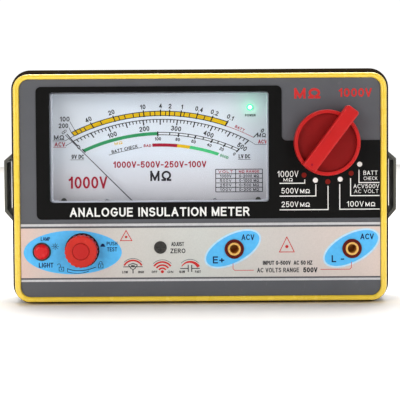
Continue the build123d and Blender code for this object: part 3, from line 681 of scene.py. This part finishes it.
    def done(self):
        """Make the mesh, in metres, and let it ride on its body."""
        mesh = bpy.data.meshes.new(self.name)
        centre_x, centre_z, unit = self.grid
        scaled = []
        for x, y, z in self.vertices:
            right = centre_x + (x - centre_x) * unit
            up = centre_z + (z - centre_z) * unit + STAND
            scaled.append((right * MM, y * MM, up * MM))
        mesh.from_pydata(scaled, [], self.faces)
        mesh.materials.append(materials[f"ink_{self.colour}"])
        mesh.validate()
        piece = add_object(self.name, mesh)
        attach(piece, self.body)


# ------------------------------------------------------------------ dial

dial_y = front_of("dial_plate")
# The dial lies deep in the window, so its artwork is drawn this much larger than it looks.
dial_grid = (0.0, 83.0, 1.0153)
hub = (-18.25, 33.0)
# Weights of the dial's lettering: the width of its strokes as a share of its height.
LIGHT, REGULAR, STRONG, MEDIUM, HEAVY = 0.175, 0.185, 0.19, 0.195, 0.215


def dial_print(name, colour, layer):
    """A print on the dial."""
    return Print(name, dial_y, colour, layer, grid=dial_grid)


class Scale:
    """A circular scale line, met by rays from the pointer's hub."""

    def __init__(self, centre, radius):
        self.centre = centre
        self.radius = radius

    def point(self, angle, out=0.0):
        """Where the pointer at an angle from upright crosses the line, or a line further out."""
        direction = Vector((sin(radians(angle)), cos(radians(angle))))
        offset = Vector(hub) - Vector(self.centre)
        along = offset.dot(direction)
        reach = sqrt(along * along - offset.length_squared + (self.radius + out) ** 2) - along
        return tuple(Vector(hub) + direction * reach)

    def line(self, start, end, out=0.0, steps=40):
        """Points of the scale line between two pointer angles."""
        return [self.point(start + (end - start) * step / steps, out) for step in range(steps + 1)]

    def tick(self, sheet, angle, inner, outer, width):
        """A tick across the line."""
        sheet.line([self.point(angle, inner), self.point(angle, outer)], width)


insulation = Scale((-17.4, -5.8), 91.4)
voltage = Scale((-17.7, -2.8), 85.7)
low_range = Scale((-17.7, -7.0), 83.5)
battery = Scale((-17.9, -9.75), 81.1)

insulation_ends = (-41.9, 32.5)
insulation_majors = {
    "40": -32.6,
    "20": -22.1,
    "10": -7.6,
    "4": 0.6,
    "2": 5.0,
    "1": 10.5,
    "0.4": 18.3,
    "0.2": 25.3,
    "0.1": 32.3,
}
insulation_minors = (-38.1, -36.2, -28.4, -19.7, -16.9, -12.8, -9.8, -4.5, -2.2, 3.1, 7.5, 12.1, 14.7, 21.9)
voltage_ends = (-44.1, 45.0)
low_start = -43.6
low_ends = (-1.0, 44.7)
low_majors = {"100": -1.0, "80": 11.4, "60": 21.1, "40": 30.5, "20": 37.6, "0": 44.7}
low_minors = (6.1, 16.9, 25.6, 33.8, 41.4)


def insulation_scale():
    """Amber main scale with its ticks and numbers."""
    band = dial_print("dial_amber_band", "amber", 1)
    band.band(insulation.line(*insulation_ends, -0.95), insulation.line(*insulation_ends, 0.95))
    band.done()
    black = dial_print("dial_insulation_marks", "black", 2)
    edge, minor, major = 0.36, 0.42, 0.52
    for out in (-1.0, 1.0):
        black.line(insulation.line(*insulation_ends, out), edge)
    for angle in (*insulation_ends, *insulation_minors):
        insulation.tick(black, angle, -1.0, 1.0, minor)
    insulation.tick(black, -40.1, -1.2, 1.5, minor)
    for words, angle in insulation_majors.items():
        insulation.tick(black, angle, -1.3, 1.75, major)
        black.text(words, insulation.point(angle, 3.3), 2.1, weight=REGULAR, turn=angle * 0.8)
    insulation.tick(black, 45.6, -1.0, 1.9, minor)
    black.text("0", insulation.point(46.2, 3.6), 2.0, weight=REGULAR, turn=30)
    black.done()


def voltage_scale():
    """Even scale of 50 ticks for alternating voltage."""
    black = dial_print("dial_voltage_marks", "black", 2)
    black.line(voltage.line(*voltage_ends), 0.36)
    divisions = 50
    step = (voltage_ends[1] - voltage_ends[0]) / divisions
    for index in range(divisions + 1):
        angle = voltage_ends[0] + step * index
        inner, width = (-1.4, 0.42) if index % 5 else (-2.4, 0.54)
        voltage.tick(black, angle, inner, 0.0, width)
        if index % 10 == 0:
            gap = -3.9 if index else -3.4
            black.text(str(index * 10), voltage.point(angle, gap), 2.2, weight=REGULAR, turn=angle * 0.75)
    black.done()


def low_scale():
    """Third scale: a green band up to 100 and a pale ladder down to 0."""
    green = dial_print("dial_green_band", "green", 1)
    green.band(low_range.line(low_start, low_ends[0], -0.75), low_range.line(low_start, low_ends[0], 0.75))
    green.done()
    pale = dial_print("dial_pale_ladder", "pale", 1)
    pale.band(low_range.line(*low_ends, -0.55), low_range.line(*low_ends, 0.55))
    pale.done()
    black = dial_print("dial_low_marks", "black", 2)
    low_range.tick(black, low_start, -1.0, 1.0, 0.5)
    low_range.tick(black, low_ends[0], -1.3, 1.0, 0.5)
    low_range.tick(black, low_ends[1], -1.0, 1.0, 0.4)
    for out in (-0.55, 0.55):
        black.line(low_range.line(*low_ends, out), 0.32)
    for angle in low_minors:
        low_range.tick(black, angle, -0.6, 0.6, 0.5)
    for words, angle in low_majors.items():
        low_range.tick(black, angle, -1.2, 0.7, 0.6)
        black.text(words, low_range.point(angle, -2.35), 1.5, weight=MEDIUM, turn=angle * 0.8)
    black.text("9V DC", (-55.2, 66.3), 1.9, 5.6, weight=MEDIUM)
    black.line([(-58.6, 64.9), (-52.4, 64.9)], 0.2)
    black.text("LV DC", (20.0, 66.0), 1.9, 5.2, weight=MEDIUM)
    black.line([(17.1, 64.6), (22.8, 64.6)], 0.2)
    black.done()


def battery_scale():
    """Short red, amber and green bar for the battery check, with its names."""
    for name, colour, start, end in (
        ("dial_battery_low", "dark_red", -4.85, 11.8),
        ("dial_battery_fair", "amber", 11.8, 20.1),
        ("dial_battery_good", "bright_green", 20.1, 38.0),
    ):
        bar = dial_print(name, colour, 1)
        bar.band(battery.line(start, end, -0.72, 16), battery.line(start, end, 0.72, 16))
        bar.done()
    good = dial_print("dial_battery_good_name", "green", 1)
    good.text("GOOD", (10.9, 66.0), 1.3, 4.0, weight=HEAVY, turn=20)
    good.done()
    unit = dial_print("dial_range_name", "amber", 1)
    unit.text("MΩ", (-36.8, 72.3), 1.3, 3.6, weight=HEAVY, turn=-10)
    unit.done()


def dial_names():
    """Names of the scales at both ends, with the thin lines that lead to them, and the larger words."""
    black = dial_print("dial_names", "dark", 2)
    black.text("100", (-60.9, 83.3), 2.2, 4.4, weight=LIGHT)
    black.text("200", (-61.5, 80.3), 2.1, 4.3, weight=LIGHT)
    black.text("∞", (-61.2, 77.5), 1.2, 2.5, weight=0.2, turn=-40)
    black.text("MΩ", (-63.5, 75.0), 2.1, 4.6, weight=LIGHT)
    black.line([(-66.4, 73.5), (-60.8, 73.5)], 0.18)
    black.line([(-58.6, 82.2), insulation.point(-40.1, 1.5)], 0.22)
    black.line([(-59.0, 79.4), insulation.point(insulation_ends[0], 1.0)], 0.26)
    black.line([(-60.0, 76.6), voltage.point(-44.1, -0.2)], 0.42)
    black.line([(-60.8, 73.5), insulation.point(insulation_ends[0], -0.9)], 0.22)
    black.line([(-60.6, 71.2), voltage.point(voltage_ends[0])], 0.22)
    black.text("MΩ", (27.8, 75.5), 1.9, 4.0, weight=LIGHT)
    black.line([voltage.point(voltage_ends[1]), (25.0, 71.3), (30.2, 71.3)], 0.2)
    black.text("POWER", (22.8, 84.5), 1.1, 4.8, weight=HEAVY)
    black.text("BATT CHECK", (-34.0, 69.6), 1.5, 12.0, weight=REGULAR, turn=-12.8)
    black.line([(-41.2, 66.9), (-36.0, 68.3), (-26.2, 70.4)], 0.2)
    black.text("MΩ", (-17.8, 57.4), 4.6, 9.5, weight=STRONG)
    black.done()
    red = dial_print("dial_red_marks", "dark_red", 2)
    red.line(insulation.line(insulation_ends[1], 45.6, -1.0, 20), 0.24)
    red.text("ACV", (-63.2, 71.9), 2.0, 4.8, weight=REGULAR)
    red.line([(-66.2, 70.6), (-60.4, 70.6)], 0.18)
    red.text("ACV", (28.2, 72.6), 1.8, 4.0, weight=MEDIUM)
    red.text("BATT", (18.0, 78.6), 1.3, 4.6, weight=MEDIUM, turn=27)
    red.text("1000V-500V-250V-100V", (-18.2, 62.6), 2.9, 42.0, weight=STRONG)
    red.text("1000V", (-50.7, 54.6), 5.4, 17.4, weight=0.165)
    red.text("BAD", (-23.7, 71.1), 1.2, 3.4, weight=HEAVY)
    red.done()


def dial_table():
    """Small table of test voltages and ranges."""
    left, right, top, bottom, divider = 7.0, 28.1, 60.2, 50.0, 16.0
    names = (("1000V", "0-2000 MΩ"), ("500V", "0-1000 MΩ"), ("250V", "0-500 MΩ"), ("100V", "0-200 MΩ"))
    row_height = (top - bottom) / (len(names) + 1)
    lines = dial_print("dial_table_lines", "dark", 2)
    for row in range(len(names) + 2):
        z = bottom + row * row_height
        lines.line([(left, z), (right, z)], 0.34)
    for x in (left, divider, right):
        lines.line([(x, bottom), (x, top)], 0.34)
    for row, (volts, ohms) in enumerate(names):
        z = top - (row + 1.5) * row_height
        lines.text(volts, ((left + divider) / 2, z), 1.3, 5.2, weight=STRONG)
        lines.text(ohms, ((right + divider) / 2, z), 1.3, 9.0, weight=STRONG)
    lines.done()
    header = dial_print("dial_table_header", "dark_red", 2)
    header.text("VOLT", ((left + divider) / 2, top - row_height / 2), 1.25, 6.6, weight=STRONG)
    header.text("MΩ RANGE", ((right + divider) / 2, top - row_height / 2), 1.25, 9.2, weight=STRONG)
    header.done()


# ------------------------------------------------------------------ panel

label_y = front_of("panel_label")
panel_y = front_of("front_case")
strip_y = front_of("control_strip")
knob_place = middle_of("switch_shaft")


def range_legend():
    """Range dots round the knob, their names, the lines that lead to them and the title."""
    white = Print("legend_white", label_y, "white", 1)
    reds = Print("legend_red_dots", label_y, "dot_red", 1)
    first_angle, angle_step, positions = -34, 18, 6
    reach_x, reach_z, dot_radius = 18.1, 17.7, 1.15
    for index in range(positions):
        angle = radians(first_angle + angle_step * index)
        spot = (knob_place[0] + reach_x * sin(angle), knob_place[1] - reach_z * cos(angle))
        (reds if index % 2 == 0 else white).disc(spot, dot_radius)
    left, right, line_width = 35.8, 81.0, 0.42
    white.line([(47.2, 55.4), (47.2, 53.7), (left, 53.7)], line_width)
    white.line([(52.2, 53.1), (52.2, 47.9), (left, 47.9)], line_width)
    white.line([(57.7, 52.4), (57.7, 41.7), (left, 41.7)], line_width)
    white.line([(63.0, 53.2), (63.0, 41.8), (right, 41.8)], line_width)
    white.line([(67.9, 55.8), (67.9, 47.9), (right, 47.9)], line_width)
    white.line([(71.7, 59.6), (71.7, 53.8), (right, 53.8)], line_width)
    white.text("1000V", (39.6, 57.9), 2.8, 9.5, weight=0.11)
    white.text("MΩ", (39.7, 55.3), 1.5, 4.2, weight=0.17)
    for volts, x, z in (("500V", 40.5, 50.3), ("250V", 40.5, 44.2), ("100V", 70.0, 44.2)):
        white.text(volts, (x, z), 2.5, 7.6)
        white.text("MΩ", (x + 6.8, z - 0.2), 1.9, 4.4, weight=0.17)
    white.text("ACV500V", (75.0, 52.2), 1.9, 11.6)
    white.text("AC VOLT", (75.0, 49.9), 1.6, 11.0, weight=0.11)
    white.text("BATT", (76.9, 58.2), 1.9, 6.4)
    white.text("CHECK", (76.9, 55.7), 1.6, 6.2, weight=0.11)
    white.text("ANALOGUE INSULATION METER", (-18.4, 41.15), 4.1, 81.2, weight=0.175)
    white.done()
    reds.done()


def panel_marks():
    """Red unit and rating in the grey corner over the knob."""
    red = Print("panel_red_marks", panel_y, "red", 1)
    red.text("MΩ", (48.5, 94.2), 4.7, 11.8, weight=0.23)
    red.text("1000V", (70.1, 94.45), 3.9, 14.9, weight=0.2)
    red.done()


# ------------------------------------------------------------------ control strip

test_place = middle_of("test_plunger")
light_place = middle_of("light_button")
jack_places = ((15.2, 24.1), (68.5, 24.0))


def strip_lines():
    """Light and dark lines along the top and bottom of the strip."""
    low, high = box_mm("control_strip")
    silver = Print("strip_light_lines", strip_y, "silver", 1)
    grey = Print("strip_dark_lines", strip_y, "shadow_grey", 1)
    left, right = low.x + 0.02, high.x - 0.02
    silver.rectangle(left, right, high.z - 1.1, high.z - 0.02)
    grey.rectangle(left, right, high.z - 1.95, high.z - 1.1)
    grey.rectangle(left, right, low.z + 1.0, low.z + 1.75)
    silver.rectangle(left, right, low.z + 0.02, low.z + 1.0)
    silver.done()
    grey.done()


def pierced(sheet, outer, hole_centre, hole_radius):
    """Band between an outline and a round hole inside it, both met by the same rays from the hole."""
    ring = []
    for x, z in outer:
        ray = Vector((x - hole_centre[0], z - hole_centre[1])).normalized() * hole_radius
        ring.append((hole_centre[0] + ray.x, hole_centre[1] + ray.y))
    sheet.band([*outer, outer[0]], [*ring, ring[0]])


def blue_fields():
    """Blue ellipses under the controls, cut round what comes through them."""
    blue = Print("strip_blue_fields", strip_y, "blue", 2)
    pale = Print("strip_blue_edges", strip_y, "pale_blue", 1)
    for place, centre in zip(jack_places, ((14.5, 24.2), (68.2, 24.2))):
        pierced(blue, ellipse_outline(centre, 13.2, 6.15, 27), place, 4.3)
        pierced(pale, ellipse_outline(centre, 14.0, 6.95, 27), place, 4.3)
    centre, half_x, half_z = (-57.9, 23.0), 22.2, 9.9
    split = light_place[0] + 6.5
    limit = acos((split - centre[0]) / half_x)
    for place, hole, start, end in (
        (light_place, 4.12, limit, 2 * pi - limit),
        (test_place, 7.86, -limit, limit),
    ):
        outline = []
        for step in range(49):
            angle = start + (end - start) * step / 48
            outline.append((centre[0] + half_x * cos(angle), centre[1] + half_z * sin(angle)))
        down = outline[0][1] - outline[-1][1]
        outline += [(split, outline[-1][1] + down * step / 12) for step in range(1, 12)]
        pierced(blue, outline, place, hole)
    blue.done()
    pale.done()


def bow(start, middle, end, steps=14):
    """Points of a curve through three places."""
    guide = [2 * middle[axis] - (start[axis] + end[axis]) / 2 for axis in (0, 1)]
    points = []
    for step in range(steps + 1):
        t = step / steps
        parts = zip(start, guide, end)
        points.append(tuple((1 - t) ** 2 * a + 2 * t * (1 - t) * b + t * t * c for a, b, c in parts))
    return points


def lamp_sign(sheet, centre):
    """A small lamp with rays."""
    sheet.arc(centre, 0.75, 0, 360, 0.24, 20)
    sheet.disc(centre, 0.35, 12)
    for ray in range(8):
        angle = radians(ray * 45)
        ends = [(centre[0] + reach * sin(angle), centre[1] + reach * cos(angle)) for reach in (1.05, 1.6)]
        sheet.line(ends, 0.24)


def padlock(sheet, centre, open_by):
    """A small padlock whose shackle may stand open to the left."""
    x, z = centre
    sheet.loop([(x - 1.05, z - 1.3), (x + 1.05, z - 1.3), (x + 1.05, z + 0.45), (x - 1.05, z + 0.45)], 0.26)
    sheet.disc((x, z - 0.45), 0.32, 12)
    middle, rise = x - open_by, 1.0 + open_by * 0.3
    sheet.arc((middle, z + rise), 0.65, -90, 90, 0.26, 12)
    sheet.line([(middle + 0.65, z + 0.45), (middle + 0.65, z + rise + 0.05)], 0.26)
    if not open_by:
        sheet.line([(middle - 0.65, z + 0.45), (middle - 0.65, z + rise + 0.05)], 0.26)


def strip_names():
    """Names and small signs in dark ink."""
    navy = Print("strip_navy_print", strip_y, "navy", 3)
    navy.text("E+", (8.1, 19.2), 3.2, 5.2, weight=0.18)
    navy.text("L -", (62.1, 19.4), 3.2, 5.7, weight=0.18)
    navy.text("ACV", (21.4, 29.4), 2.6, 5.8, weight=0.16)
    navy.text("ACV", (75.3, 29.4), 2.6, 6.1, weight=0.18)
    navy.text("LIGHT", (-70.0, 17.3), 2.2, 6.6, weight=0.19)
    navy.text("LAMP", (-70.2, 29.2), 1.7, 4.2, weight=0.17)
    navy.text("TEST", (-40.1, 24.3), 1.9, 4.6, weight=0.17)
    navy.text("PUSH", (-40.1, 26.9), 1.7, 4.8, weight=0.17)
    navy.polygon([(-45.4, 25.5), (-43.1, 25.5), (-43.5, 26.4), (-44.0, 26.9), (-44.6, 26.9), (-45.1, 26.4)])
    lamp_sign(navy, (-65.8, 25.8))
    padlock(navy, (-63.1, 15.9), 1.1)
    padlock(navy, (-45.3, 17.2), 0.0)
    navy.line(bow((-60.3, 15.6), (-54.4, 14.7), (-47.4, 16.3)), 0.34)
    navy.line(bow((-60.2, 14.1), (-55.0, 13.5), (-50.6, 14.6)), 0.24)
    navy.line([(-60.4, 15.8), (-60.3, 14.0)], 0.26)
    navy.done()
    dark = Print("strip_dark_print", strip_y, "dark", 1)
    dark.text("ZERO", (-10.3, 23.4), 2.1, 6.8, weight=0.18)
    dark.text("ADJUST", (-10.4, 26.5), 1.8, 5.8, weight=0.17)
    dark.text("INPUT 0-500V  AC 50 HZ", (39.3, 17.7), 1.9, 22.4, weight=0.2)
    dark.text("AC VOLTS RANGE", (35.0, 14.4), 2.1, 19.0, weight=0.17)
    dark.text("500V", (49.6, 14.4), 2.3, 6.4, weight=0.22)
    dark.done()


def strip_signs():
    """Red outlines, connecting lines and three small function signs."""
    red = Print("strip_red_print", strip_y, "red", 2)
    for middle, base, height, width in ((-33.7, 28.2, 4.6, 5.2), (39.0, 22.6, 6.8, 6.7)):
        red.loop([(middle - width / 2, base), (middle + width / 2, base), (middle, base + height)], 0.35)
        red.disc((middle, base + height * 0.36), width * 0.11, 16)
    red.line([(14.6, 17.6), (14.6, 15.2), (15.4, 14.4), (24.0, 14.4)], 0.26)
    red.line([(54.2, 14.6), (67.4, 14.6), (68.2, 15.4), (68.2, 18.0)], 0.26)
    gauge, sound, fade = (-30.7, 14.6), (-17.4, 13.7), (-4.9, 14.0)
    red.arc(gauge, 4.6, -60, 60, 0.75, 20)
    for ring in range(1, 4):
        red.arc(sound, 1.4 * ring + 0.5, -54, 54, 0.75, 16)
    red.disc((sound[0], sound[1] + 0.3), 0.7, 16)
    red.arc(fade, 4.4, -58, 62, 0.35, 24, 1.5)
    red.done()
    dark = Print("strip_sign_marks", strip_y, "dark", 2)
    for centre, reach in ((gauge, 5.5), (sound, 5.7), (fade, 5.5)):
        dark.arc(centre, reach, -46, 46, 0.2, 20)
    x, z = gauge
    dark.line([(x - 4.4, 16.3), (x + 4.4, 16.3)], 0.32)
    needle = [(x - 2.0, 17.1), (x - 1.0, 15.6), (x, 15.0), (x + 1.0, 15.6), (x + 2.0, 17.1), (x, 17.9)]
    dark.loop(needle, 0.32)
    dark.line([(x, 15.0), (x, 13.3)], 0.46)
    dark.text("MΩ", (x, 16.8), 0.9, weight=0.23)
    x = fade[0]
    for side in (-1, 1):
        dark.line([(x + side * 4.4, 15.4), (x + side * 0.8, 15.4)], 0.36)
        dark.line([(x + side * 0.8, 13.8), (x + side * 0.8, 17.0)], 0.42)
    for centre, words in ((gauge, ("LOW", "HIGH")), (sound, ("OFF", "ON")), (fade, ("SLOW", "FAST"))):
        dark.text(words[0], (centre[0] - 3.6, 13.9), 1.1, 2.6, weight=0.2)
        dark.text(words[1], (centre[0] + 3.6, 13.9), 1.1, 2.6, weight=0.2)
    dark.done()


# ------------------------------------------------------------------ fittings


def knob_details():
    """Index mark on the range knob's bar, which turns with the knob."""
    tilt, reach, recess, radius = radians(37), 12.1, 0.3, 0.5
    mark = Print("knob_index_mark", front_of("range_knob") + recess, "dark_red", 1, body="range_knob")
    mark.disc((knob_place[0] - reach * sin(tilt), knob_place[1] - reach * cos(tilt)), radius, 16)
    mark.done()


# ------------------------------------------------------------------ stage


def floor_and_lights():
    """Pale floor, white surroundings behind the tester, a dim room in front and soft studio lamps."""
    tree, shader = new_material("studio_floor")
    shader.inputs["Base Color"].default_value = (0.93, 0.905, 0.88, 1.0)
    shader.inputs["Roughness"].default_value = 0.7
    shader.inputs["Specular IOR Level"].default_value = 0.1
    bump(tree, shader, noise(tree, 300.0), 0.02)
    mesh = bpy.data.meshes.new("floor")
    half_width, front, back = 1.2, -0.55, 2.2
    corners = [(-half_width, front, 0), (half_width, front, 0), (half_width, back, 0), (-half_width, back, 0)]
    mesh.from_pydata(corners, [], [(0, 1, 2, 3)])
    mesh.materials.append(materials["studio_floor"])
    floor = add_object("floor", mesh)

    world = bpy.data.worlds.new("studio")
    bpy.context.scene.world = world
    world.use_nodes = True
    tree = world.node_tree
    depth = share_along(tree, "Y", -0.5, 0.6, "Generated")
    shades = ((0.0, (0.1, 0.1, 0.1)), (0.45, (0.35, 0.35, 0.35)), (1.0, (1.0, 0.99, 0.97)))
    surround = ramp(tree, depth, shades)
    seen = tree.nodes.new("ShaderNodeLightPath")
    white = plain_colour(tree, (1.0, 1.0, 1.0))
    backdrop = mix_colours(tree, seen.outputs["Is Camera Ray"], surround, white)
    background = tree.nodes["Background"]
    tree.links.new(backdrop, background.inputs["Color"])
    background.inputs["Strength"].default_value = 1.05

    lamp("key", (-0.62, -0.85, 0.34), (0.0, 0.0, 0.05), 0.6, 4.3, (1.0, 0.99, 0.97))
    lamp("fill", (0.66, -0.85, 0.32), (0.0, 0.0, 0.05), 0.6, 3.4, (0.98, 0.99, 1.0))
    lamp("top", (0.0, 0.30, 0.85), (0.0, 0.0, 0.0), 0.7, 9.5, (1.0, 1.0, 1.0))
    lamp("rear", (0.0, 1.3, 0.7), (0.0, 1.1, 0.0), 1.4, 10.0, (1.0, 0.99, 0.97))


def lamp(name, place, target, size, power, colour):
    """A square soft lamp that looks at a point."""
    data = bpy.data.lights.new(name, "AREA")
    data.shape = "SQUARE"
    data.size = size
    data.energy = power
    data.color = colour
    item = add_object(name, data)
    item.location = place
    direction = Vector(target) - Vector(place)
    item.rotation_euler = direction.to_track_quat("-Z", "Y").to_euler()


def led_glow():
    """Green light that the power lamp throws on the dial."""
    x, z = middle_of("power_led")
    stand_off = 1.2
    data = bpy.data.lights.new("led_glow", "POINT")
    data.energy = 0.0005
    data.shadow_soft_size = 0.0006
    data.color = (0.1, 1.0, 0.45)
    item = add_object("led_glow", data)
    item.location = (x * MM, (front_of("power_led") - stand_off) * MM, (z + STAND) * MM)


def camera():
    """Long lens, level with the panel and a little above it."""
    distance = 0.75
    field = 180.85 * MM
    pitch, roll = radians(2.8), radians(-0.37)
    aim_x, aim_z = -0.16, 46.37
    aim = Vector((aim_x * MM, panel_y * MM, (aim_z + STAND) * MM))
    data = bpy.data.cameras.new("camera")
    data.sensor_width = 36.0
    data.lens = data.sensor_width * distance / field
    data.clip_start = 0.01
    data.clip_end = 20.0
    item = add_object("camera", data)
    back = Vector((0.0, -cos(pitch), sin(pitch)))
    item.location = aim + back * distance
    item.rotation_euler = (-back).to_track_quat("-Z", "Y").to_euler()
    item.rotation_euler.rotate_axis("Z", roll)
    bpy.context.scene.camera = item


insulation_scale()
voltage_scale()
low_scale()
battery_scale()
dial_names()
dial_table()
range_legend()
panel_marks()
strip_lines()
blue_fields()
strip_names()
strip_signs()
knob_details()
floor_and_lights()
led_glow()
camera()
bpy.context.scene.view_settings.view_transform = "Standard"
